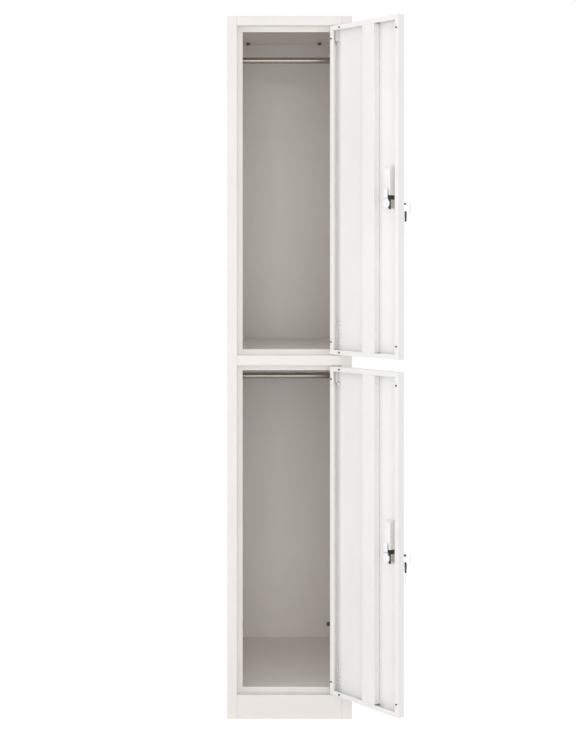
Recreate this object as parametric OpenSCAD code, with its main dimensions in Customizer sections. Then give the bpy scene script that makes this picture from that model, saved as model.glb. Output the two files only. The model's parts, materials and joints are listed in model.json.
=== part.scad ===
// Steel locker cabinet with two compartments, one above the other. Each has a right-hung
// folded-sheet door on two vertical pivots, a hanging rod and a key lock in a recessed pull.
// +X is right, +Y is back, +Z is up. The origin is on the floor at mid-width, on the foot
// of the plinth. The doors stand open.

/* [Cabinet] */
// Overall width
cabinet_w = 320; // [310:1:360]
// Overall depth, without the doors
cabinet_d = 540; // [480:5:600]
// Overall height
cabinet_h = 1800; // [1780:5:1850]
// Thickness of the steel sheet
sheet = 0.8; // [0.7:0.1:1]
// Bend radius at the middle of the sheet
bend_r = 1.2; // [1:0.1:1.5]
// Width of each front stile
stile_w = 26; // [24:1:30]
// Height of the front rail at the top
top_rail_h = 24; // [22:1:30]
// Height of the front rail between the doors
mid_rail_h = 26; // [22:1:30]
// Top of the middle rail above the floor
mid_rail_top = 931; // [900:1:950]
// Height of the plinth
plinth_h = 61; // [50:1:80]
// Depth of the rebate that the doors close into
rebate_d = 24; // [24:0.5:26]
// Width of the door stop around each doorway
stop_w = 14; // [10:1:18]
// Length of the plinth's foot, from front to back
foot_w = 20; // [16:2:30]
// Width of the flange at the rear of each side panel
rear_flange_w = 36; // [30:1:40]
// Height of the flanges at the ends of the shelves
shelf_flange_h = 20; // [15:1:25]

/* [Doors] */
// Gap above and below a door
door_gap = 2.5; // [2.3:0.1:3]
// Gap at the sides of a door
side_gap = 3.5; // [3.2:0.1:4]
// Thickness of a door
door_t = 20; // [19:0.5:21]
// Width of the lip along the hinge edge
hinge_lip_w = 12; // [11:0.5:14]
// Depth of the hem that turns in from the lip at the hinge edge
hinge_hem = 6; // [3:0.5:6]
// Width of the lip along the other three edges
lip_w = 12; // [10:1:14]
// Angle that the doors stand open
door_open = 126; // [0:1:138]
// Distance of the pivot from the hinge edge
pin_inset = 9.3; // [9:0.1:9.6]
// Distance of the pivot behind the outer face
pin_depth = 4.5; // [4.5:0.1:4.7]
// Diameter of the pivot pins
pin_d = 5; // [4:0.5:5]
// Distance of the stiffener from the hinge edge
stiffener_at = 126.5; // [100:0.5:135]
// Width of the stiffener
stiffener_w = 45.5; // [30:0.5:50]
// Diameter of the rubber buffers on the lips
buffer_d = 4.5; // [4.5:0.5:6]
// Distance of the buffers from the top and bottom edges
buffer_at = 32; // [20:1:40]

/* [Vents in the doors] */
// Rows of vent holes
vent_rows = 8; // [4:1:12]
// Columns of vent holes
vent_cols = 2; // [1:1:6]
// Diameter of a vent hole
vent_d = 4; // [3:0.5:6]
// Pitch of the vent holes
vent_pitch = 10.3; // [8:0.1:14]

/* [Lock and pull] */
// Distance of the locks from the free edge
lock_inset = 36.5; // [35:0.5:40]
// Distance of the upper lock below the middle of its door
upper_lock_drop = 39.5; // [34:0.5:42]
// Distance of the lower lock below the middle of its door
lower_lock_drop = 35; // [34:0.5:42]
// Height of the pull's outer rim
bezel_h = 118; // [114:1:124]
// Width of the pull's outer rim
bezel_w = 36; // [34:1:40]
// Depth of the finger cup and the lock
cup_d = 23.5; // [21:0.5:24]
// Width of the finger cup
cup_w = 19.5; // [18:0.5:22]
// Length of the cam from the lock's axis to its tip
cam_reach = 37; // [35:1:41]

/* [Keys] */
// Radius of a key's bow
bow_r = 9.5; // [9:0.5:12]
// Thickness of a key's bow
bow_t = 3.5; // [2.5:0.25:3.75]
// Radius of the split ring, at the middle of its wire
ring_r = 14; // [12:0.5:15]
// Angle that the spare key hangs turned on the ring
spare_yaw = 35; // [-40:5:40]

/* [Hanging rods] */
// Outer diameter of a rod
rod_d = 16; // [12:1:25]
// Drop of the upper rod below the top
upper_rod_drop = 81; // [60:1:120]
// Drop of the lower rod below the shelf
lower_rod_drop = 87; // [60:1:120]

/* [Hidden] */

$fn = 48;
bend_steps = 3;
fit = 0.05;      // radial clearance of a running fit
slack = 0.2;     // gap that lets one piece pass another
mid = sheet / 2;
past = 1;        // how far a cut runs past what it cuts

// Cabinet, measured from the front plane
front_y = -foot_w / 2;
half_w = cabinet_w / 2;
inner_half = half_w - sheet;
opening_half = half_w - stile_w;
stop_half = opening_half - stop_w;
mid_rail_z = mid_rail_top - mid_rail_h;
top_rail_z = cabinet_h - top_rail_h;
shelf_z = mid_rail_top + stop_w;
floor_z = plinth_h + stop_w;
rod_y = cabinet_d / 2;
upper_rod_z = cabinet_h - upper_rod_drop;
lower_rod_z = shelf_z - lower_rod_drop;

// Screws that hold the back panel
screw_r = 3;
screw_x = 103;
screw_in = 40;
back_flange_w = 52;
rear_screw_x = 131;
rear_screw_z = 114;

// Holes for the screws that hold the cabinet to a wall
wall_hole_x = 100;
wall_hole_z = cabinet_h - 48;
wall_hole_r = 3.5;

// Doors: u runs from the hinge edge to the free edge, w from the outer face inward
door_w = cabinet_w - 2 * stile_w - 2 * side_gap;
door_h = top_rail_z - mid_rail_top - 2 * door_gap;
lower_door_h = mid_rail_z - plinth_h - 2 * door_gap;
pin_x = opening_half - side_gap - pin_inset;
pin_y = front_y + pin_depth;
pin_r = pin_d / 2;
bush_r = 3.6;
bush_flange_t = 1;
bush_flange_r = 4.4;
bush_depth = 3;
buffer_along = 38;
buffer_out = rebate_d - door_t - 1.2;
buffer_stem_r = 1.5;
buffer_head_t = 1.2;

// Top pivot: a sprung bolt in a bracket
bracket_t = 1.2;
bracket_h = 38;
bracket_u = 14.4;
bracket_w = door_t - hinge_hem - 1;
bolt_reach = 8;
bolt_tail = 44;
collar_r = 3.3;
collar_t = 1.6;
spring_wire = 0.35;
spring_turns = 9;

// Lock
lock_u = door_w - lock_inset;
bezel_t = 1.5;
cup_wall = 1.5;
cup_top = bezel_h / 2 - 6;
cup_bend_r = 11;
cup_edge_r = 1.8;
lock_below = 39;
lock_top = 20;
lock_low = -14.5;
block_h = 10.6;
ledge_h = 3.2;
backplate_t = 3;
backplate_low = -10.5;
backplate_lug_w = 4.3;
backplate_in = cup_d - 1;
cylinder_r = 8.5;
collar_out = 4.5;
plug_r = 6;
plug_out = 5;
plug_in = cup_d + 0.2;
cam_t = 2.4;
cam_w = 13;
cam_hub_r = 11;
cam_plane = rebate_d + 2.7;
shank = 8;
key_w = 7.6;
key_t = 2;
key_tip = 16.8;
bow_start = -11;
bow_centre = -27.5;
bow_neck = 12;
key_hole_at = -31.3;
key_hole_r = 4.2;
wire_r = 0.75;
ring_lean = ring_r * sin(45);
spare_at = 15;

// Rods
rod_wall = 1;
socket_plate_t = 1.5;
socket_plate_r = 18;
socket_len = 12;
rivet_at = 13;

// --- Helpers -----------------------------------------------------------------------------

function unit(v) = v / norm(v);
function left_of(v) = [-v.y, v.x];
function turned(v, a) = [v.x * cos(a) - v.y * sin(a), v.x * sin(a) + v.y * cos(a)];

// Points and normals round one bend of a folded sheet, from a through b to c
function bend(a, b, c, r) =
    let (into = unit(b - a), out = unit(c - b),
         side = sign(into.x * out.y - into.y * out.x),
         angle = acos(into * out),
         start = b - into * r * tan(angle / 2),
         centre = start + left_of(into) * r * side)
    [for (i = [0:bend_steps])
        let (a = side * angle * i / bend_steps)
        [centre + turned(start - centre, a), turned(left_of(into), a)]];

function rail(path, r) =
    let (n = len(path))
    concat([[path[0], left_of(unit(path[1] - path[0]))]],
           [for (i = [1:n - 2]) each bend(path[i - 1], path[i], path[i + 1], r)],
           [[path[n - 1], left_of(unit(path[n - 1] - path[n - 2]))]]);

// Section of a folded sheet whose middle follows the path
module folded(path, t = sheet, r = bend_r) {
    line = rail(path, r);
    n = len(line);
    polygon(concat([for (s = line) s[0] + s[1] * t / 2],
                   [for (i = [n - 1:-1:0]) line[i][0] - line[i][1] * t / 2]));
}

function arc(centre, r, from, to, n = 8) =
    [for (i = [0:n]) centre + r * [cos(from + (to - from) * i / n), sin(from + (to - from) * i / n)]];

module rounded_rect(w, d, r) {
    polygon(concat(arc([w - r, d - r], r, 0, 90, bend_steps), arc([r, d - r], r, 90, 180, bend_steps),
                   arc([r, r], r, 180, 270, bend_steps), arc([w - r, r], r, 270, 360, bend_steps)));
}

// Upright bar with round ends, centred
module oblong(w, h) {
    square([w, h - w], center = true);
    for (end = [-1, 1]) translate([0, end * (h - w) / 2]) circle(d = w);
}

// Puts a drawing of the (y, z) plane up and extrudes it along x, centred on x = 0
module across(width) {
    translate([-width / 2, 0, 0]) rotate([90, 0, 90]) linear_extrude(width) children();
}

// Extrudes a drawing of the (x, z) plane from y0 to y1
module between_y(y0, y1) {
    translate([0, y1, 0]) rotate([90, 0, 0]) linear_extrude(y1 - y0) children();
}

// Cylinder along y, from y0 to y1
module cylinder_y(r, y0, y1) {
    translate([0, y0, 0]) rotate([-90, 0, 0]) cylinder(r = r, h = y1 - y0);
}

// The cabinet is drawn with y = 0 at its front plane
module carcass() {
    translate([0, front_y, 0]) children();
}

// --- Carcass -----------------------------------------------------------------------------

// Side wall folded at the front into stile, rebate and door stop, and at the rear into a flange
module side_panel() {
    difference() {
        union() {
            linear_extrude(cabinet_h) folded([
                [stop_half, rebate_d + mid],
                [opening_half + mid, rebate_d + mid],
                [opening_half + mid, mid],
                [half_w - mid, mid],
                [half_w - mid, cabinet_d - sheet - mid],
                [half_w - rear_flange_w, cabinet_d - sheet - mid]]);
            translate([inner_half - foot_w, rebate_d + foot_w, 0])
                cube([foot_w + mid, cabinet_d - rebate_d - 2 * foot_w, sheet]);
        }
        translate([0, sheet, cabinet_h - sheet]) cube([inner_half, cabinet_d, past]);
        translate([rear_screw_x, 0, rear_screw_z])
            cylinder_y(screw_r + slack, cabinet_d / 2, cabinet_d);
    }
}

module left_side_panel() {
    color("whitesmoke") carcass() mirror([1, 0, 0]) side_panel();
}

module right_side_panel() {
    color("whitesmoke") carcass() side_panel();
}

// Plan of what lies between the side panels: the rails stop at the stiles and the stops at the stops
module between_sides() {
    behind = rebate_d + sheet + slack;
    for (side = [0, 1]) mirror([side, 0]) polygon([
        [0, 0], [opening_half, 0], [opening_half, rebate_d], [stop_half, rebate_d],
        [stop_half, behind], [inner_half, behind],
        [inner_half, cabinet_d], [0, cabinet_d]]);
}

// A sheet folded to a path in the (y, z) plane that fits between the side panels
module cross_sheet(path) {
    intersection() {
        across(cabinet_w) folded(path);
        linear_extrude(cabinet_h) between_sides();
    }
}

// Hole for a hinge bush, at the height of a rail's flange
module bush_hole(z) {
    translate([pin_x, pin_depth, z - past]) cylinder(r = bush_r, h = 2 * past + sheet);
}

module end_flanges(z) {
    for (x = [-inner_half, inner_half - sheet])
        translate([x, 2 * rebate_d, z - shelf_flange_h])
            cube([sheet, cabinet_d - 3 * rebate_d, shelf_flange_h]);
}

module top_panel() {
    color("whitesmoke") carcass() difference() {
        union() {
            cross_sheet([
                [rebate_d + mid, top_rail_z - stop_w],
                [rebate_d + mid, top_rail_z + mid],
                [mid, top_rail_z + mid],
                [mid, cabinet_h - mid],
                [cabinet_d / 2, cabinet_h - mid]]);
            translate([-inner_half, sheet, cabinet_h - sheet])
                cube([2 * inner_half, cabinet_d - sheet, sheet]);
            end_flanges(cabinet_h);
        }
        bush_hole(top_rail_z);
        for (x = [-screw_x, screw_x])
            translate([x, cabinet_d - screw_in, cabinet_h - past - sheet])
                cylinder(r = screw_r + slack, h = 3 * past);
    }
}

module mid_shelf() {
    color("whitesmoke") carcass() difference() {
        union() {
            cross_sheet([
                [rebate_d + mid, mid_rail_z - stop_w],
                [rebate_d + mid, mid_rail_z + mid],
                [mid, mid_rail_z + mid],
                [mid, mid_rail_top - mid],
                [rebate_d + mid, mid_rail_top - mid],
                [rebate_d + mid, shelf_z - mid],
                [cabinet_d - 3 * sheet, shelf_z - mid],
                [cabinet_d - 3 * sheet, shelf_z - shelf_flange_h]]);
            end_flanges(shelf_z);
        }
        bush_hole(mid_rail_z);
        bush_hole(mid_rail_top - sheet);
    }
}

module floor_panel() {
    color("whitesmoke") carcass() {
        cross_sheet([
            [rebate_d + stop_w, plinth_h + mid],
            [rebate_d + mid, plinth_h + mid],
            [rebate_d + mid, floor_z - mid],
            [cabinet_d - 3 * sheet, floor_z - mid],
            [cabinet_d - 3 * sheet, floor_z - shelf_flange_h]]);
        end_flanges(floor_z);
    }
}

module plinth() {
    color("whitesmoke") carcass() difference() {
        union() {
            cross_sheet([
                [rebate_d, plinth_h - mid], [mid, plinth_h - mid], [mid, mid], [foot_w, mid]]);
            for (x = [-opening_half, opening_half - sheet])
                translate([x, mid, sheet + past])
                    cube([sheet, rebate_d - bend_r, plinth_h - 2 * (sheet + past)]);
        }
        bush_hole(plinth_h - sheet);
    }
}

// Flat sheet across the back, with a flange under the top panel and a foot
module back_panel() {
    flange_half = half_w - rear_flange_w - past;
    top_z = cabinet_h - sheet;
    color("gainsboro") carcass() difference() {
        union() {
            translate([-half_w, cabinet_d - sheet, 0]) cube([cabinet_w, sheet, top_z]);
            for (z = [0, top_z - sheet])
                translate([-flange_half, cabinet_d - back_flange_w, z])
                    cube([2 * flange_half, back_flange_w - mid, sheet]);
        }
        for (x = [-screw_x, screw_x])
            translate([x, cabinet_d - screw_in, top_z - past - sheet])
                cylinder(r = screw_r + slack, h = 3 * past);
        for (x = [-rear_screw_x, rear_screw_x])
            translate([x, 0, rear_screw_z]) cylinder_y(screw_r + slack, cabinet_d - past, cabinet_d + past);
        for (x = [-wall_hole_x, wall_hole_x])
            translate([x, 0, wall_hole_z]) cylinder_y(wall_hole_r, cabinet_d - past, cabinet_d + past);
    }
}

// The four places where the back panel is screwed, each with its screw pointing along -z
module at_back_screws() {
    carcass() {
        for (x = [-screw_x, screw_x])
            translate([x, cabinet_d - screw_in, cabinet_h]) children();
        for (x = [-rear_screw_x, rear_screw_x])
            translate([x, cabinet_d, rear_screw_z]) rotate([-90, 0, 0]) children();
    }
}

module back_panel_screws() {
    color("dimgray") at_back_screws() {
        translate([0, 0, -9]) cylinder(r = screw_r, h = 9);
        difference() {
            cylinder(r = 5.5, h = 2.6);
            translate([0, 0, 1.2]) cylinder(r = 2.2, h = 3, $fn = 6);
        }
    }
}

module back_panel_nuts() {
    washer_t = 1;
    nut_t = 4.5;
    color("dimgray") at_back_screws() translate([0, 0, -2 * sheet]) difference() {
        union() {
            translate([0, 0, -washer_t]) cylinder(r = 6.5, h = washer_t);
            translate([0, 0, -washer_t - nut_t]) cylinder(r = 5.8, h = nut_t, $fn = 6);
        }
        translate([0, 0, -past - nut_t - washer_t])
            cylinder(r = screw_r + fit, h = nut_t + washer_t + 2 * past);
    }
}

// --- Hanging rods ------------------------------------------------------------------------

module rod(z) {
    length = 2 * (inner_half - socket_plate_t - slack);
    color("silver") carcass() translate([-length / 2, rod_y, z]) rotate([0, 90, 0]) difference() {
        cylinder(d = rod_d, h = length);
        translate([0, 0, -past]) cylinder(d = rod_d - 2 * rod_wall, h = length + 2 * past);
    }
}

module upper_rod() {
    rod(upper_rod_z);
}

module lower_rod() {
    rod(lower_rod_z);
}

// The four rod ends, each on the inside of a side wall with z pointing into the cabinet
module at_rod_ends() {
    carcass() for (z = [upper_rod_z, lower_rod_z]) for (side = [-1, 1])
        translate([side * inner_half, rod_y, z]) rotate([0, -side * 90, 0]) children();
}

module rod_sockets() {
    color("silver") at_rod_ends() difference() {
        union() {
            cylinder(r = socket_plate_r, h = socket_plate_t);
            cylinder(d = rod_d + 4, h = socket_len);
        }
        translate([0, 0, socket_plate_t]) cylinder(r = rod_d / 2 + 2 * fit, h = socket_len);
        for (side = [-1, 1]) translate([0, side * rivet_at, -past]) cylinder(r = 1.6, h = 4 * past);
    }
}

module socket_rivets() {
    color("silver") at_rod_ends() for (side = [-1, 1]) translate([0, side * rivet_at, 0]) {
        cylinder(r = 1.6, h = socket_plate_t + 0.2);
        translate([0, 0, socket_plate_t]) cylinder(r1 = 3, r2 = 2, h = 1);
    }
}

// --- Doors -------------------------------------------------------------------------------

function door_z(tier) = door_gap + (tier == "upper" ? mid_rail_top : plinth_h);
function height_of(tier) = tier == "upper" ? door_h : lower_door_h;
function lock_z(tier) =
    height_of(tier) / 2 - (tier == "upper" ? upper_lock_drop : lower_lock_drop);
function pull_z(tier) = lock_z(tier) + lock_below;

// Places what is drawn in (u, w, z), z up from the door's bottom edge
module on_door(tier) {
    translate([pin_x, pin_y, door_z(tier)]) rotate([0, 0, door_open])
        translate([pin_inset, -pin_depth, 0]) mirror([1, 0, 0]) children();
}

module at_pivot(z) {
    translate([pin_inset, pin_depth, z]) children();
}

module at_lock(tier) {
    translate([lock_u, 0, lock_z(tier)]) children();
}

// Shallow steel tray: skin, four walls and a lip round the open back. The lip at the hinge
// edge has a hem that turns in towards the skin.
module door_panel(tier) {
    h = height_of(tier);
    corner = bend_r + mid;
    color("white") on_door(tier) difference() {
        union() {
            linear_extrude(h) folded([
                [hinge_lip_w - mid, door_t - hinge_hem], [hinge_lip_w - mid, door_t - mid],
                [mid, door_t - mid], [mid, mid],
                [door_w - mid, mid], [door_w - mid, door_t - mid], [door_w - lip_w, door_t - mid]]);
            for (z = [0, h - sheet]) translate([0, 0, z])
                linear_extrude(sheet) rounded_rect(door_w, door_t, corner);
            for (z = [0, h - lip_w]) translate([hinge_lip_w - bend_r, door_t - sheet, z])
                cube([door_w - hinge_lip_w - lip_w + bend_r + past, sheet, lip_w]);
        }
        pull_cutout(tier);
        vent_holes();
        at_buffers(h) cylinder_y(buffer_stem_r + fit, -sheet - past, past);
        at_pivot(-past) cylinder(r = pin_r, h = 2 * past + sheet);
        at_pivot(h - past - sheet) cylinder(r = pin_r + fit, h = 2 * past + sheet);
    }
}

module pull_cutout(tier) {
    translate([lock_u, 0, pull_z(tier)])
        between_y(-past, sheet + past) oblong(bezel_w - 4, bezel_h - 4);
}

module vent_holes() {
    for (col = [0:vent_cols - 1]) for (row = [0:vent_rows - 1])
        translate([lip_w + col * vent_pitch, 0, lip_w + row * vent_pitch])
            cylinder_y(vent_d / 2, -past, 2 * past);
}

// The six places on the lips where the door lands on the stops
module at_buffers(h) {
    in = lip_w / 2;
    for (end = [0, 1]) translate([0, door_t, end * h]) mirror([0, 0, end]) {
        for (u = [in, door_w - in]) translate([u, 0, buffer_at]) children();
        translate([buffer_along, 0, in]) children();
    }
}

// Rubber buffers, each with a stem through the lip and a head behind it
module door_buffers(tier) {
    tip_r = buffer_d / 2 - 0.6;
    color("dimgray") on_door(tier) at_buffers(height_of(tier)) {
        rotate([-90, 0, 0]) cylinder(r1 = buffer_d / 2, r2 = tip_r, h = buffer_out);
        cylinder_y(buffer_stem_r, -sheet - buffer_head_t, 0);
        rotate([90, 0, 0]) translate([0, 0, sheet])
            cylinder(r1 = tip_r, r2 = buffer_stem_r, h = buffer_head_t);
    }
}

// Channel up the middle of the door, its face level with the lips and its feet on the skin
module door_stiffener(tier) {
    foot = stiffener_w / 4;
    near = stiffener_at + mid;
    far = stiffener_at + stiffener_w - mid;
    color("white") on_door(tier) translate([0, 0, lip_w + slack])
        linear_extrude(height_of(tier) - 2 * (lip_w + slack)) folded([
            [near + foot, sheet + mid], [near, sheet + mid], [near, door_t - mid],
            [far, door_t - mid], [far, sheet + mid], [far - foot, sheet + mid]]);
}

// U-shaped bracket under the top edge that guides the hinge bolt
module hinge_bracket(tier) {
    h = height_of(tier);
    top = h - sheet - bracket_t / 2;
    bottom = h - bracket_h + bracket_t / 2;
    color("gainsboro") on_door(tier) difference() {
        between_y(sheet, bracket_w) folded(
            [[2, top], [bracket_u, top], [bracket_u, bottom], [2, bottom]], bracket_t, 1.5);
        at_pivot(bottom - 2 * past) cylinder(r = pin_r + fit, h = bracket_h + 2 * past);
    }
}

// Sprung bolt that reaches up into the frame, with a bent tail to pull it down by
module hinge_bolt(tier) {
    h = height_of(tier);
    tail_len = 9;
    nose = 1.2;
    color("silver") on_door(tier) {
        at_pivot(h - bolt_tail) cylinder(r = pin_r, h = bolt_tail + door_gap + bolt_reach - nose);
        at_pivot(h + door_gap + bolt_reach - nose) cylinder(r1 = pin_r, r2 = pin_r - nose, h = nose);
        at_pivot(h - sheet - bracket_t - collar_t) cylinder(r = collar_r, h = collar_t);
        at_pivot(h - bolt_tail) {
            sphere(r = pin_r);
            rotate([0, 90, 0]) cylinder(r = pin_r, h = tail_len);
            translate([tail_len, 0, 0]) sphere(r = pin_r + 0.8);
        }
    }
}

// Compression spring between the bracket's lower ear and the bolt's collar
module hinge_spring(tier) {
    h = height_of(tier);
    low = h - bracket_h + bracket_t + spring_wire + fit;
    high = h - sheet - bracket_t - collar_t - spring_wire - fit;
    coil_r = pin_r + spring_wire + fit;
    sides = 6;
    steps = 14 * spring_turns;
    rings = [for (i = [0:steps])
        let (a = 360 * spring_turns * i / steps, z = low + (high - low) * i / steps)
        [for (k = [0:sides - 1])
            let (r = coil_r + spring_wire * cos(360 * k / sides))
            [r * cos(a), r * sin(a), z + spring_wire * sin(360 * k / sides)]]];
    color("silver") on_door(tier) at_pivot(0) polyhedron(
        points = [for (ring = rings) each ring],
        faces = concat(
            [[for (k = [0:sides - 1]) k]],
            [for (i = [0:steps - 1]) for (k = [0:sides - 1])
                let (a = i * sides + k, b = i * sides + (k + 1) % sides)
                each [[a, b + sides, b], [a, a + sides, b + sides]]],
            [[for (k = [sides - 1:-1:0]) steps * sides + k]]),
        convexity = 4);
}

// Plate that stiffens the door's bottom edge round the lower pivot
module bottom_plate(tier) {
    color("gainsboro") on_door(tier) difference() {
        translate([2, sheet, sheet]) cube([bracket_u + 10, bracket_w - sheet, 1.5]);
        at_pivot(0) cylinder(r = pin_r, h = 4 * past);
    }
}

module bottom_pin(tier) {
    plate_top = sheet + 1.5;
    collar_h = door_gap - bush_flange_t - fit;
    color("silver") on_door(tier) {
        at_pivot(-door_gap - bolt_reach) cylinder(r = pin_r, h = door_gap + bolt_reach + plate_top);
        at_pivot(-collar_h) cylinder(r = bush_r, h = collar_h);
        at_pivot(plate_top) cylinder(r = collar_r, h = 2);
    }
}

// Nylon bushes in the rails, one above and one below each door; the pivots turn in them
module hinge_bushes() {
    color("white") carcass() for (seat = [
            [plinth_h, 1], [mid_rail_z, -1], [mid_rail_top, 1], [top_rail_z, -1]])
        translate([pin_x, pin_depth, seat[0]]) mirror([0, 0, seat[1] > 0 ? 0 : 1]) difference() {
            union() {
                cylinder(r = bush_flange_r, h = bush_flange_t);
                translate([0, 0, -bush_depth]) cylinder(r = bush_r, h = bush_depth);
            }
            translate([0, 0, -bush_depth - past])
                cylinder(r = pin_r + fit, h = bush_depth + bush_flange_t + 2 * past);
        }
}

// --- Pull and lock -----------------------------------------------------------------------

// Rim on the outer face, a finger cup whose back curves over at the top, and a ledge that
// carries the lock's housing
module pull_cup(tier) {
    low = lock_z(tier) + lock_top + slack;
    high = pull_z(tier) + cup_top;
    color("whitesmoke") on_door(tier) difference() {
        union() {
            translate([lock_u, 0, pull_z(tier)]) between_y(-bezel_t, 0) oblong(bezel_w, bezel_h);
            translate([lock_u, 0, 0]) cup_form(cup_w, low, high, cup_d, 0, cup_bend_r, cup_edge_r);
            at_lock(tier) translate([-cup_w / 2, 0, lock_low])
                cube([cup_w, backplate_in - backplate_t, ledge_h]);
        }
        translate([lock_u, 0, 0]) cup_form(
            cup_w - 2 * cup_wall, low + cup_wall, high - cup_wall, cup_d - cup_wall, bezel_t + past,
            cup_bend_r - cup_wall, cup_edge_r - cup_wall);
        at_lock(tier) cylinder_y(cylinder_r + fit, -bezel_t - past, past);
    }
}

// Shape of the cup from its outer face: the back bends over at the top, and its upright edges
// are rounded. It starts that far proud of the outer face.
module cup_form(w, low, high, depth, proud, bend_over, edge_r) {
    intersection() {
        across(w) polygon(concat(
            [[-proud, low], [depth, low]],
            arc([depth - bend_over, high - bend_over], bend_over, 0, 90), [[-proud, high]]));
        translate([0, 0, low]) linear_extrude(high - low) polygon(concat(
            [[-w / 2, -proud], [w / 2, -proud]],
            arc([w / 2 - edge_r, depth - edge_r], edge_r, 0, 90, bend_steps),
            arc([edge_r - w / 2, depth - edge_r], edge_r, 90, 180, bend_steps)));
    }
}

// Block between the cylinder and the cup, with a plate that holds the housing from the back.
// A lug of the plate reaches down at the free-edge side.
module lock_case(tier) {
    edge_r = 1.5;
    half = cup_w / 2;
    color("dimgray") on_door(tier) at_lock(tier) difference() {
        union() {
            translate([-half, 0, lock_top - block_h]) cube([cup_w, backplate_in, block_h]);
            between_y(backplate_in - backplate_t, backplate_in) polygon(concat(
                [[-half, lock_top - past], [-half, backplate_low],
                 [half - backplate_lug_w, backplate_low], [half - backplate_lug_w, lock_low]],
                arc([half - edge_r, lock_low + edge_r], edge_r, 270, 360, bend_steps),
                [[half, lock_top - past]]));
        }
        cylinder_y(cylinder_r + fit, -past, cup_d + past);
    }
}

// Die-cast box round the cylinder
module lock_housing(tier) {
    low = lock_low + ledge_h;
    color("silver") on_door(tier) at_lock(tier) difference() {
        translate([-cup_w / 2, 0, low])
            cube([cup_w, backplate_in - backplate_t, lock_top - block_h - low]);
        cylinder_y(cylinder_r + fit, -past, cup_d + past);
    }
}

module lock_cylinder(tier) {
    color("silver") on_door(tier) at_lock(tier) difference() {
        union() {
            cylinder_y(cylinder_r, -bezel_t, cup_d);
            cylinder_y(cylinder_r + 2, -collar_out, -bezel_t);
        }
        cylinder_y(plug_r + fit, -collar_out - past, cup_d + past);
    }
}

module lock_plug(tier) {
    color("silver") on_door(tier) at_lock(tier) difference() {
        union() {
            cylinder_y(plug_r, -plug_out, plug_in);
            translate([-shank / 2, plug_in, -shank / 2]) cube([shank, cam_t, shank]);
        }
        translate([-key_w / 2 - slack, -plug_out - past, -key_t / 2 - fit])
            cube([key_w + 2 * slack, key_tip + plug_out + past + slack, key_t + 2 * fit]);
        cylinder_y(2 + fit / 2, key_tip + 2 * slack, cup_d + 2 * cam_t);
    }
}

// Round hub with a cranked tongue that turns behind the door stop
module lock_cam(tier) {
    hub = plug_in + cam_t / 2;
    color("silver") on_door(tier) at_lock(tier) difference() {
        intersection() {
            across(3 * cam_hub_r) folded(
                [[hub, -cam_hub_r], [hub, cam_hub_r + 0.8],
                 [cam_plane, cam_hub_r + 3.8], [cam_plane, cam_reach]],
                cam_t, 2);
            between_y(0, 2 * cup_d) {
                circle(r = cam_hub_r);
                translate([-cam_w / 2, 0]) square([cam_w, cam_reach - cam_w / 2]);
                translate([0, cam_reach - cam_w / 2]) circle(d = cam_w);
            }
        }
        translate([-shank / 2 - fit, cup_d - past, -shank / 2 - fit])
            cube([shank + 2 * fit, 3 * cam_t, shank + 2 * fit]);
    }
}

module cam_screw(tier) {
    seat = plug_in + cam_t;
    color("silver") on_door(tier) at_lock(tier) {
        cylinder_y(2, key_tip + 2 * slack + fit, seat);
        cylinder_y(6, seat, seat + 0.8);
        difference() {
            cylinder_y(4, seat + 0.8, seat + 3);
            translate([-5, seat + 2, -0.5]) cube([10, 3, 1]);
        }
    }
}

// --- Keys --------------------------------------------------------------------------------

// A key lies flat in the (u, w) plane, its tip towards +w
module key_blade() {
    cuts = [0.8, 1.6, 1.1, 1.9, 1.3];
    difference() {
        translate([-key_w / 2, bow_start - 8, -key_t / 2]) cube([key_w, key_tip - bow_start + 8, key_t]);
        for (i = [0:len(cuts) - 1]) translate([key_w / 2, -2 + 3.6 * i, 0]) rotate([0, 0, 45])
            cube([cuts[i], cuts[i], 2 * key_t], center = true);
        for (side = [-1, 1]) translate([side * key_w / 2, key_tip, 0]) rotate([0, 0, 45])
            cube([3, 3, 2 * key_t], center = true);
    }
}

module key_bow() {
    difference() {
        translate([0, 0, -bow_t / 2]) linear_extrude(bow_t) {
            translate([0, bow_centre]) circle(r = bow_r);
            translate([-bow_neck / 2, bow_centre]) square([bow_neck, bow_start - bow_centre]);
        }
        translate([-key_w / 2, bow_start - 8, -key_t / 2]) cube([key_w, 8 + past, key_t]);
        translate([0, key_hole_at, -bow_t]) cylinder(r = key_hole_r, h = 2 * bow_t);
    }
}

// The ring passes through the key's hole and hangs outward and down from it
module at_ring() {
    translate([0, key_hole_at - ring_lean, -ring_lean]) children();
}

// The spare key hangs near the lowest point of the ring, a little towards the door
module at_spare() {
    at_ring() translate([0, ring_r * sin(spare_at), -ring_r * cos(spare_at)])
        rotate([0, 0, spare_yaw]) rotate([-90, 0, 0])
        translate([0, -key_hole_at, 0]) children();
}

module key_ring(tier) {
    color("silver") on_door(tier) at_lock(tier) at_ring() rotate([0, 90, 0])
        rotate_extrude() translate([ring_r, 0]) circle(r = wire_r);
}

// --- The nodes ---------------------------------------------------------------------------

module key_blade_at(tier) {
    color("silver") on_door(tier) at_lock(tier) key_blade();
}

module key_bow_at(tier) {
    color("dimgray") on_door(tier) at_lock(tier) key_bow();
}

module spare_blade_at(tier) {
    color("silver") on_door(tier) at_lock(tier) at_spare() key_blade();
}

module spare_bow_at(tier) {
    color("dimgray") on_door(tier) at_lock(tier) at_spare() key_bow();
}

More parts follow.
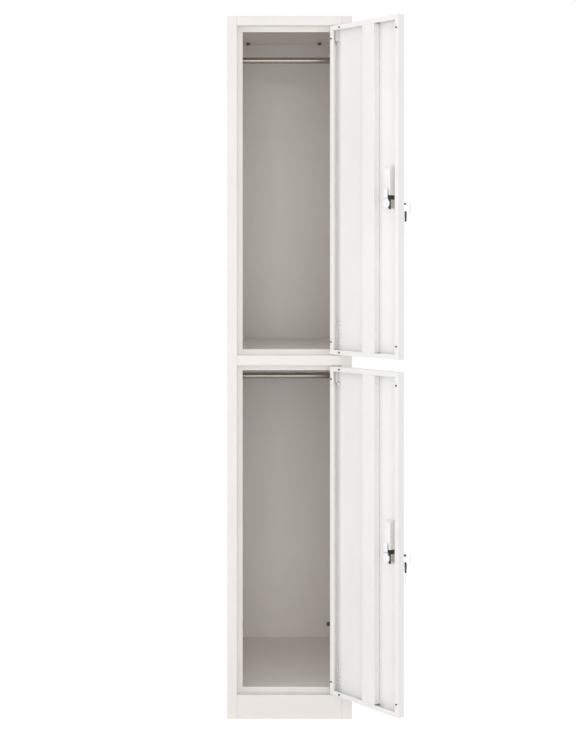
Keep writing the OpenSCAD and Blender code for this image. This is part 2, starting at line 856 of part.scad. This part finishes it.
left_side_panel();
right_side_panel();
back_panel();
top_panel();
mid_shelf();
floor_panel();
plinth();
back_panel_screws();
back_panel_nuts();
upper_rod();
lower_rod();
rod_sockets();
socket_rivets();
hinge_bushes();
door_panel("upper");  // upper_door_panel
door_panel("lower");  // lower_door_panel
door_stiffener("upper");  // upper_door_stiffener
door_stiffener("lower");  // lower_door_stiffener
door_buffers("upper");  // upper_door_buffers
door_buffers("lower");  // lower_door_buffers
hinge_bracket("upper");  // upper_hinge_bracket
hinge_bracket("lower");  // lower_hinge_bracket
hinge_bolt("upper");  // upper_hinge_bolt
hinge_bolt("lower");  // lower_hinge_bolt
hinge_spring("upper");  // upper_hinge_spring
hinge_spring("lower");  // lower_hinge_spring
bottom_plate("upper");  // upper_bottom_plate
bottom_plate("lower");  // lower_bottom_plate
bottom_pin("upper");  // upper_bottom_pin
bottom_pin("lower");  // lower_bottom_pin
pull_cup("upper");  // upper_pull_cup
pull_cup("lower");  // lower_pull_cup
lock_case("upper");  // upper_lock_case
lock_case("lower");  // lower_lock_case
lock_housing("upper");  // upper_lock_housing
lock_housing("lower");  // lower_lock_housing
lock_cylinder("upper");  // upper_lock_cylinder
lock_cylinder("lower");  // lower_lock_cylinder
lock_plug("upper");  // upper_lock_plug
lock_plug("lower");  // lower_lock_plug
lock_cam("upper");  // upper_lock_cam
lock_cam("lower");  // lower_lock_cam
cam_screw("upper");  // upper_cam_screw
cam_screw("lower");  // lower_cam_screw
key_blade_at("upper");  // upper_key_blade
key_blade_at("lower");  // lower_key_blade
key_bow_at("upper");  // upper_key_bow
key_bow_at("lower");  // lower_key_bow
key_ring("upper");  // upper_key_ring
key_ring("lower");  // lower_key_ring
spare_blade_at("upper");  // upper_spare_blade
spare_blade_at("lower");  // lower_spare_blade
spare_bow_at("upper");  // upper_spare_bow
spare_bow_at("lower");  // lower_spare_bow
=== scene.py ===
import json
import math

import bpy
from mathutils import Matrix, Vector


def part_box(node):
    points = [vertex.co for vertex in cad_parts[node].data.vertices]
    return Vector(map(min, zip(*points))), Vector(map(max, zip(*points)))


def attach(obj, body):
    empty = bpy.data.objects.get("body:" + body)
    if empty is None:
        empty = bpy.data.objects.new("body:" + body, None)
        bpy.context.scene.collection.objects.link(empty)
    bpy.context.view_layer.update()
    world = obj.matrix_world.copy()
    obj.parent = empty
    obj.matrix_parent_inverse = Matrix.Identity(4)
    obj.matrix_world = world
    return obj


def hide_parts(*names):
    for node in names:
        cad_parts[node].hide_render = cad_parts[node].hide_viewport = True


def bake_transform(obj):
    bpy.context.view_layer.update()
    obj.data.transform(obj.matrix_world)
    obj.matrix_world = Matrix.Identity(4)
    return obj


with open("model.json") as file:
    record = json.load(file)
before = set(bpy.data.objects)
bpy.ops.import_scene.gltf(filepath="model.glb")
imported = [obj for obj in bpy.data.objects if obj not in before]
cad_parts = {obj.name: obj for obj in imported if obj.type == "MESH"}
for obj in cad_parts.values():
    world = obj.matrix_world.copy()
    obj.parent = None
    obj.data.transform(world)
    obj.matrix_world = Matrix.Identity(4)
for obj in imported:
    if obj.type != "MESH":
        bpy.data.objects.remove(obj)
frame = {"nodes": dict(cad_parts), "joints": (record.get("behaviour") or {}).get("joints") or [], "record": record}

MM = 0.001
TIERS = ("upper", "lower")
UP = Vector((0, 0, 1))
WHITE = (1, 1, 1, 1)


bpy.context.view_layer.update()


# --- Node building -------------------------------------------------------------------------

def linear(r, g, b):
    """An sRGB colour of 0 to 255 as Blender's linear colour."""
    def channel(c):
        c = c / 255
        return c / 12.92 if c <= 0.04045 else ((c + 0.055) / 1.055) ** 2.4
    return channel(r), channel(g), channel(b), 1.0


def scaled(colour, k):
    return tuple(min(1.0, c * k) for c in colour[:3]) + (1.0,)


class Nodes:
    """A short way to make and link the nodes of one tree."""

    def __init__(self, owner):
        owner.use_nodes = True
        self.tree = owner.node_tree
        self.tree.nodes.clear()

    def feed(self, socket, value):
        """Links the socket to another node's output, or sets its own value."""
        if isinstance(value, bpy.types.NodeSocket):
            self.tree.links.new(value, socket)
        else:
            socket.default_value = value

    def add(self, kind, inputs=None, **settings):
        node = self.tree.nodes.new(kind)
        for name, value in settings.items():
            setattr(node, name, value)
        for name, value in (inputs or {}).items():
            self.feed(node.inputs[name], value)
        return node

    def place(self, stretch=(1, 1, 1)):
        """Object coordinates in metres, stretched along an axis for a directional grain."""
        coords = self.add("ShaderNodeTexCoord").outputs["Object"]
        mapping = self.add("ShaderNodeMapping", {"Vector": coords, "Scale": stretch})
        return mapping.outputs["Vector"]

    def noise(self, where, scale, detail=3.0, roughness=0.55):
        return self.add("ShaderNodeTexNoise", {
            "Vector": where, "Scale": scale, "Detail": detail,
            "Roughness": roughness}).outputs["Fac"]

    def remap(self, value, low, high, start=0.3, end=0.7):
        """low where the value is start or less, high where it is end or more."""
        return self.add("ShaderNodeMapRange", {
            "Value": value, "From Min": start, "From Max": end,
            "To Min": low, "To Max": high}).outputs["Result"]

    def blend(self, fac, a, b):
        """Colour a where fac is 0, and b where it is 1."""
        node = self.add("ShaderNodeMix", data_type="RGBA")
        sockets = {socket.identifier: socket for socket in node.inputs}
        for name, value in (("Factor_Float", fac), ("A_Color", a), ("B_Color", b)):
            self.feed(sockets[name], value)
        return next(s for s in node.outputs if s.identifier == "Result_Color")

    def combine(self, a, b, operation="ADD"):
        node = self.add("ShaderNodeMath", operation=operation)
        for socket, value in zip(node.inputs, (a, b)):
            self.feed(socket, value)
        return node.outputs[0]

    def bump(self, height, depth, strength, over=None):
        """A normal raised by height, on top of the normal named in over."""
        inputs = {"Height": height, "Distance": depth, "Strength": strength}
        if over is not None:
            inputs["Normal"] = over
        return self.add("ShaderNodeBump", inputs).outputs["Normal"]

    def surface(self, **inputs):
        named = {name.replace("_", " "): value for name, value in inputs.items()}
        shader = self.add("ShaderNodeBsdfPrincipled", named)
        self.add("ShaderNodeOutputMaterial", {"Surface": shader.outputs["BSDF"]})


def material(name):
    made = bpy.data.materials.new(name)
    return made, Nodes(made)


# --- Materials -----------------------------------------------------------------------------

def powder_coat(name, colour, roughness):
    """White powder coat on sheet steel: orange peel, grey specks and slightly uneven gloss."""
    made, n = material(name)
    where = n.place()
    cloud = n.noise(where, scale=5.0, detail=4.0)
    peel = n.noise(where, scale=650.0, detail=2.0)
    grit = n.noise(where, scale=2600.0, detail=1.0)
    speck = n.noise(where, scale=900.0, detail=0.0)
    gloss = n.noise(where, scale=38.0, detail=3.0)
    rare = n.remap(speck, 0.0, 1.0, start=0.78, end=0.83)
    shade = n.blend(n.remap(cloud, 0.0, 1.0), scaled(colour, 0.975), scaled(colour, 1.015))
    fine = n.bump(grit, depth=0.03 * MM, strength=0.4)
    n.surface(
        Base_Color=n.blend(rare, shade, scaled(colour, 0.86)),
        Roughness=n.remap(gloss, roughness - 0.05, roughness + 0.06),
        Specular_IOR_Level=0.45,
        Normal=n.bump(peel, depth=0.12 * MM, strength=0.6, over=fine))
    return made


def plated(name, colour, roughness, stretch, grain, tarnish):
    """Plated or bare metal with drawn or rolled grain along one axis and faint smudges."""
    made, n = material(name)
    lines = n.noise(n.place(stretch), scale=grain, detail=2.0)
    smudge = n.noise(n.place(), scale=60.0, detail=4.0)
    n.surface(
        Base_Color=n.blend(n.remap(smudge, 0.0, 1.0), scaled(colour, tarnish), colour),
        Metallic=1.0,
        Roughness=n.combine(n.remap(smudge, roughness * 0.8, roughness * 1.3),
                            n.remap(lines, -0.04, 0.05)),
        Normal=n.bump(lines, depth=0.02 * MM, strength=0.5))
    return made


def cast_metal(name, colour):
    """Bare die-cast zinc: dull, with a fine grainy skin and faint flow patches."""
    made, n = material(name)
    where = n.place()
    patch = n.noise(where, scale=180.0, detail=4.0)
    skin = n.noise(where, scale=1800.0, detail=2.0)
    n.surface(
        Base_Color=n.blend(n.remap(patch, 0.0, 1.0), scaled(colour, 0.9), scaled(colour, 1.06)),
        Metallic=0.35,
        Roughness=n.remap(skin, 0.42, 0.56),
        Normal=n.bump(skin, depth=0.03 * MM, strength=0.6))
    return made


def oxidised(name, colour):
    """Black oxide on fasteners: dark and patchy, and paler where it has rubbed."""
    made, n = material(name)
    where = n.place()
    patch = n.noise(where, scale=420.0, detail=4.0)
    pits = n.noise(where, scale=1500.0, detail=2.0)
    n.surface(
        Base_Color=n.blend(n.remap(patch, 0.0, 1.0), colour, scaled(colour, 2.1)),
        Metallic=0.7,
        Roughness=n.remap(patch, 0.35, 0.6),
        Normal=n.bump(pits, depth=0.04 * MM, strength=0.6))
    return made


def moulded(name, colour, roughness, grain=1500.0):
    """Moulded plastic or rubber with an eroded texture and faint flow marks."""
    made, n = material(name)
    texture = n.noise(n.place(), scale=grain, detail=3.0, roughness=0.7)
    flow = n.noise(n.place((1, 1, 0.25)), scale=55.0, detail=3.0)
    n.surface(
        Base_Color=n.blend(n.remap(flow, 0.0, 1.0), scaled(colour, 0.95), scaled(colour, 1.04)),
        Roughness=n.remap(texture, roughness - 0.06, roughness + 0.08),
        Specular_IOR_Level=0.5,
        Normal=n.bump(texture, depth=0.04 * MM, strength=0.7))
    return made


def nylon(name, colour):
    """Turned nylon: waxy, a little light passes through."""
    made, n = material(name)
    cloud = n.noise(n.place(), scale=150.0)
    turning = n.noise(n.place((0.2, 0.2, 6.0)), scale=900.0, detail=2.0)
    n.surface(
        Base_Color=n.blend(n.remap(cloud, 0.0, 1.0), scaled(colour, 0.96), colour),
        Roughness=n.remap(turning, 0.4, 0.5),
        Subsurface_Weight=0.15, Subsurface_Radius=(0.002, 0.002, 0.0015),
        Normal=n.bump(turning, depth=0.03 * MM, strength=0.5))
    return made


# How each slot's material is made, its colour, and the rest of its maker's arguments.
FINISHES = {
    "frame_paint": (powder_coat, linear(244, 239, 235), 0.38),
    "door_paint": (powder_coat, linear(246, 245, 243), 0.36),
    "bracket_paint": (powder_coat, linear(224, 222, 218), 0.42),
    "dark_steel": (oxidised, linear(98, 95, 88)),
    "chrome": (plated, linear(168, 162, 154), 0.17, (0.05, 6, 6), 420.0, 0.9),
    "zinc_steel": (plated, linear(248, 249, 250), 0.30, (1, 1, 0.1), 420.0, 0.95),
    "spring_steel": (plated, linear(170, 170, 172), 0.28, (1, 1, 1), 900.0, 0.9),
    "cast_zinc": (cast_metal, linear(214, 210, 205)),
    "lock_chrome": (plated, linear(222, 223, 225), 0.22, (2, 2, 2), 500.0, 0.9),
    "key_steel": (plated, linear(246, 245, 241), 0.26, (1, 1, 0.1), 700.0, 0.95),
    "white_nylon": (nylon, linear(228, 227, 220)),
    "cup_plastic": (moulded, linear(251, 250, 246), 0.42),
    "black_rubber": (moulded, linear(62, 61, 59), 0.62, 900.0),
    "black_plastic": (moulded, linear(54, 52, 48), 0.40),
}
MATERIALS = {slot: make(slot, *settings) for slot, (make, *settings) in FINISHES.items()}


def dress(obj, slot):
    """Gives obj the material of a slot, and only that one."""
    obj.data.materials.clear()
    obj.data.materials.append(MATERIALS[slot])


def dress_cad_nodes():
    for part in frame["record"]["subparts"]:
        dress(frame["nodes"][part["node"]], part["material_slot"])


# --- Pieces --------------------------------------------------------------------------------

# Width in mm of the rounded edges on what is moulded, cast or turned.
EDGE_WIDTHS = {
    "key_bow": 0.7, "spare_bow": 0.7, "pull_cup": 0.5,
    "lock_case": 0.4, "lock_housing": 0.4, "lock_cylinder": 0.4,
    "lock_cam": 0.3, "lock_plug": 0.25, "cam_screw": 0.25,
}
SHARP_EDGE = math.radians(50)


def rounded_edges(node, width):
    """Small rounded edges on a CAD node, as a modifier."""
    bevel = frame["nodes"][node].modifiers.new("rounded_edges", "BEVEL")
    bevel.width = width
    bevel.segments = 2
    bevel.limit_method = "ANGLE"
    bevel.angle_limit = SHARP_EDGE


def joint_axis(name):
    return Vector(next(joint["axis"] for joint in frame["joints"] if joint["name"] == name))


def placed(name, data):
    """A new object of that name, in the scene."""
    obj = bpy.data.objects.new(name, data)
    bpy.context.collection.objects.link(obj)
    return obj


def split_ring(tier):
    """Two turns of round wire, side by side, with the step where one crosses to the other."""
    low, high = (Vector(c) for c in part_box(f"{tier}_key_ring"))
    centre = (low + high) / 2
    inward = joint_axis(f"{tier}_lock_turn")
    side = inward.cross(UP)
    wire = 0.45 * MM
    radius = (high.z - low.z) / 2 - wire
    curve = bpy.data.curves.new(f"{tier}_split_ring", "CURVE")
    curve.dimensions = "3D"
    curve.bevel_depth = wire
    curve.bevel_resolution = 3
    curve.use_fill_caps = True
    spline = curve.splines.new("POLY")
    steps, turns = 96, 2
    half_step = 0.06    # half the length of the step from turn to turn, in turns
    first_angle = math.radians(70)
    spline.points.add(steps)
    for i in range(steps + 1):
        t = i / steps * turns
        crossed = min(1.0, max(0.0, (t - 1 + half_step) / (2 * half_step)))
        shift = wire * (2 * crossed * crossed * (3 - 2 * crossed) - 1)
        angle = 2 * math.pi * t + first_angle
        out = inward * math.cos(angle) + UP * math.sin(angle)
        spline.points[i].co = (*(centre + side * shift + radius * out), 1.0)
    ring = placed(f"{tier}_split_ring", curve)
    dress(ring, "key_steel")
    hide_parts(f"{tier}_key_ring")
    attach(ring, f"{tier}_ring")


def coil_spring(tier):
    """Spring with closed ends, made where the CAD spring stands, its foot on the bracket."""
    low, high = (Vector(c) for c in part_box(f"{tier}_hinge_spring"))
    wire = 0.35 * MM
    radius = max(high.x - low.x, high.y - low.y) / 2 - wire
    foot = Vector(((low.x + high.x) / 2, (low.y + high.y) / 2, low.z + wire))
    head = Vector((foot.x, foot.y, high.z - wire))
    turns, steps, sides = 9, 198, 8
    closed_pitch = 2.1 * wire
    open_turns = turns - 2
    pitch = (head.z - foot.z - 2 * closed_pitch) / open_turns
    points = []
    for i in range(steps + 1):
        t = i / steps * turns
        closed_turns = min(t, 1) + max(0, t - turns + 1)
        climb = closed_pitch * closed_turns + pitch * min(max(t - 1, 0), open_turns)
        out = Vector((math.cos(2 * math.pi * t), math.sin(2 * math.pi * t), 0))
        middle = foot + radius * out + climb * UP
        for k in range(sides):
            a = 2 * math.pi * k / sides
            points.append(middle + wire * (math.cos(a) * out + math.sin(a) * UP))
    faces = []
    for start in range(0, steps * sides, sides):
        for k in range(sides):
            a, b = start + k, start + (k + 1) % sides
            faces.append((a, a + sides, b + sides, b))
    faces.append(tuple(range(sides)))
    faces.append(tuple(steps * sides + k for k in reversed(range(sides))))
    mesh = bpy.data.meshes.new(f"{tier}_coil_spring")
    mesh.from_pydata(points, [], faces)
    mesh.shade_smooth()
    spring = placed(f"{tier}_coil_spring", mesh)
    dress(spring, "spring_steel")
    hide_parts(f"{tier}_hinge_spring")
    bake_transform(spring)


# --- Stage, light and camera ---------------------------------------------------------------

AMBIENT = 0.74
AMBIENT_COLOUR = (0.985, 0.995, 1.0, 1.0)
ROOM_FRONT = (0.28, 0.28, 0.28, 1)      # what metal mirrors in front of the cabinet
FLOOR_HALF = 9.0
FLOOR_DROP = 0.5 * MM
FLOOR_COLOUR = linear(249, 248, 247)
FLOOR_GLOW = 1.12
FLOOR_SHADOW = 0.18                     # share of the floor's real shading that is seen

# Place, aim, size and power of each rectangular lamp.
LAMPS = {
    "front": ((0.0, -4.3, 1.35), (0, 0, 0.9), (2.0, 2.5), 28),
    "left": ((-4.2, -1.3, 1.2), (0, 0, 0.9), (2.4, 2.4), 28),
    "high": ((-0.6, -3.2, 3.2), (0, 0, 0.7), (2.4, 1.6), 7),
}


def seen_directly(n):
    """1 for camera rays and what they see through glass."""
    path = n.add("ShaderNodeLightPath")
    return n.combine(path.outputs["Is Camera Ray"], path.outputs["Is Transmission Ray"],
                     "MAXIMUM")


def mirrored(n):
    """1 for what a glossy surface mirrors."""
    return n.add("ShaderNodeLightPath").outputs["Is Glossy Ray"]


def mixed(n, fac, a, b):
    """Shader a where fac is 0, and b where it is 1."""
    mix = n.add("ShaderNodeMixShader", {"Fac": fac})
    n.tree.links.new(a.outputs[0], mix.inputs[1])
    n.tree.links.new(b.outputs[0], mix.inputs[2])
    return mix


def light_world():
    """Even light and a white backdrop. Metal mirrors a room that is dim towards the front."""
    world = bpy.data.worlds.new("studio")
    bpy.context.scene.world = world
    n = Nodes(world)
    light = n.add("ShaderNodeBackground", {"Color": AMBIENT_COLOUR, "Strength": AMBIENT})
    backdrop = n.add("ShaderNodeBackground", {"Color": WHITE, "Strength": 1.0})
    direction = n.add("ShaderNodeTexCoord").outputs["Generated"]
    depth = n.add("ShaderNodeSeparateXYZ", {"Vector": direction}).outputs["Y"]
    away_from_front = n.remap(depth, 0.0, 1.0, start=-0.95, end=-0.45)
    room = n.add("ShaderNodeBackground", {"Color": n.blend(away_from_front, ROOM_FRONT, WHITE)})
    lit = mixed(n, mirrored(n), light, room)
    shown = mixed(n, seen_directly(n), lit, backdrop)
    n.add("ShaderNodeOutputWorld", {"Surface": shown.outputs[0]})


def make_floor():
    """Pale floor. What the camera sees of it is mostly plain white, and the rest is its shadow."""
    bpy.ops.mesh.primitive_plane_add(size=2 * FLOOR_HALF, location=(0, 0, -FLOOR_DROP))
    floor = bpy.context.object
    floor.name = "studio_floor"
    made, n = material("studio_floor")
    paint = n.add("ShaderNodeBsdfDiffuse", {"Color": FLOOR_COLOUR})
    glow = n.add("ShaderNodeEmission", {"Color": WHITE, "Strength": FLOOR_GLOW})
    seen = n.combine(seen_directly(n), mirrored(n), "MAXIMUM")
    glowing = n.combine(seen, 1 - FLOOR_SHADOW, "MULTIPLY")
    surface = mixed(n, glowing, paint, glow)
    n.add("ShaderNodeOutputMaterial", {"Surface": surface.outputs[0]})
    floor.data.materials.append(made)


def soft_light(name, where, aim, size, power):
    lamp = bpy.data.lights.new(name, "AREA")
    lamp.shape = "RECTANGLE"
    lamp.size, lamp.size_y = size
    lamp.energy = power
    obj = placed(name, lamp)
    obj.location = where
    obj.rotation_euler = (Vector(aim) - Vector(where)).to_track_quat("-Z", "Y").to_euler()


def make_camera():
    """Level camera in front of the cabinet, a little to its left, with the picture shifted."""
    data = bpy.data.cameras.new("camera")
    data.sensor_width = 36
    data.lens = 76.38
    data.shift_x = 0.0669
    data.shift_y = -0.1557
    data.clip_end = 60
    camera = placed("camera", data)
    camera.location = (-0.1292, -3.987, 1.1954)
    camera.rotation_euler = (math.radians(90), 0, 0)
    bpy.context.scene.camera = camera


# --- Scene ---------------------------------------------------------------------------------

bpy.context.scene.view_settings.view_transform = "Standard"
make_camera()
light_world()
make_floor()
for lamp_name, lamp_settings in LAMPS.items():
    soft_light(lamp_name, *lamp_settings)
dress_cad_nodes()
for tier in TIERS:
    for part, edge in EDGE_WIDTHS.items():
        rounded_edges(f"{tier}_{part}", edge * MM)
for tier in TIERS:
    split_ring(tier)
    coil_spring(tier)
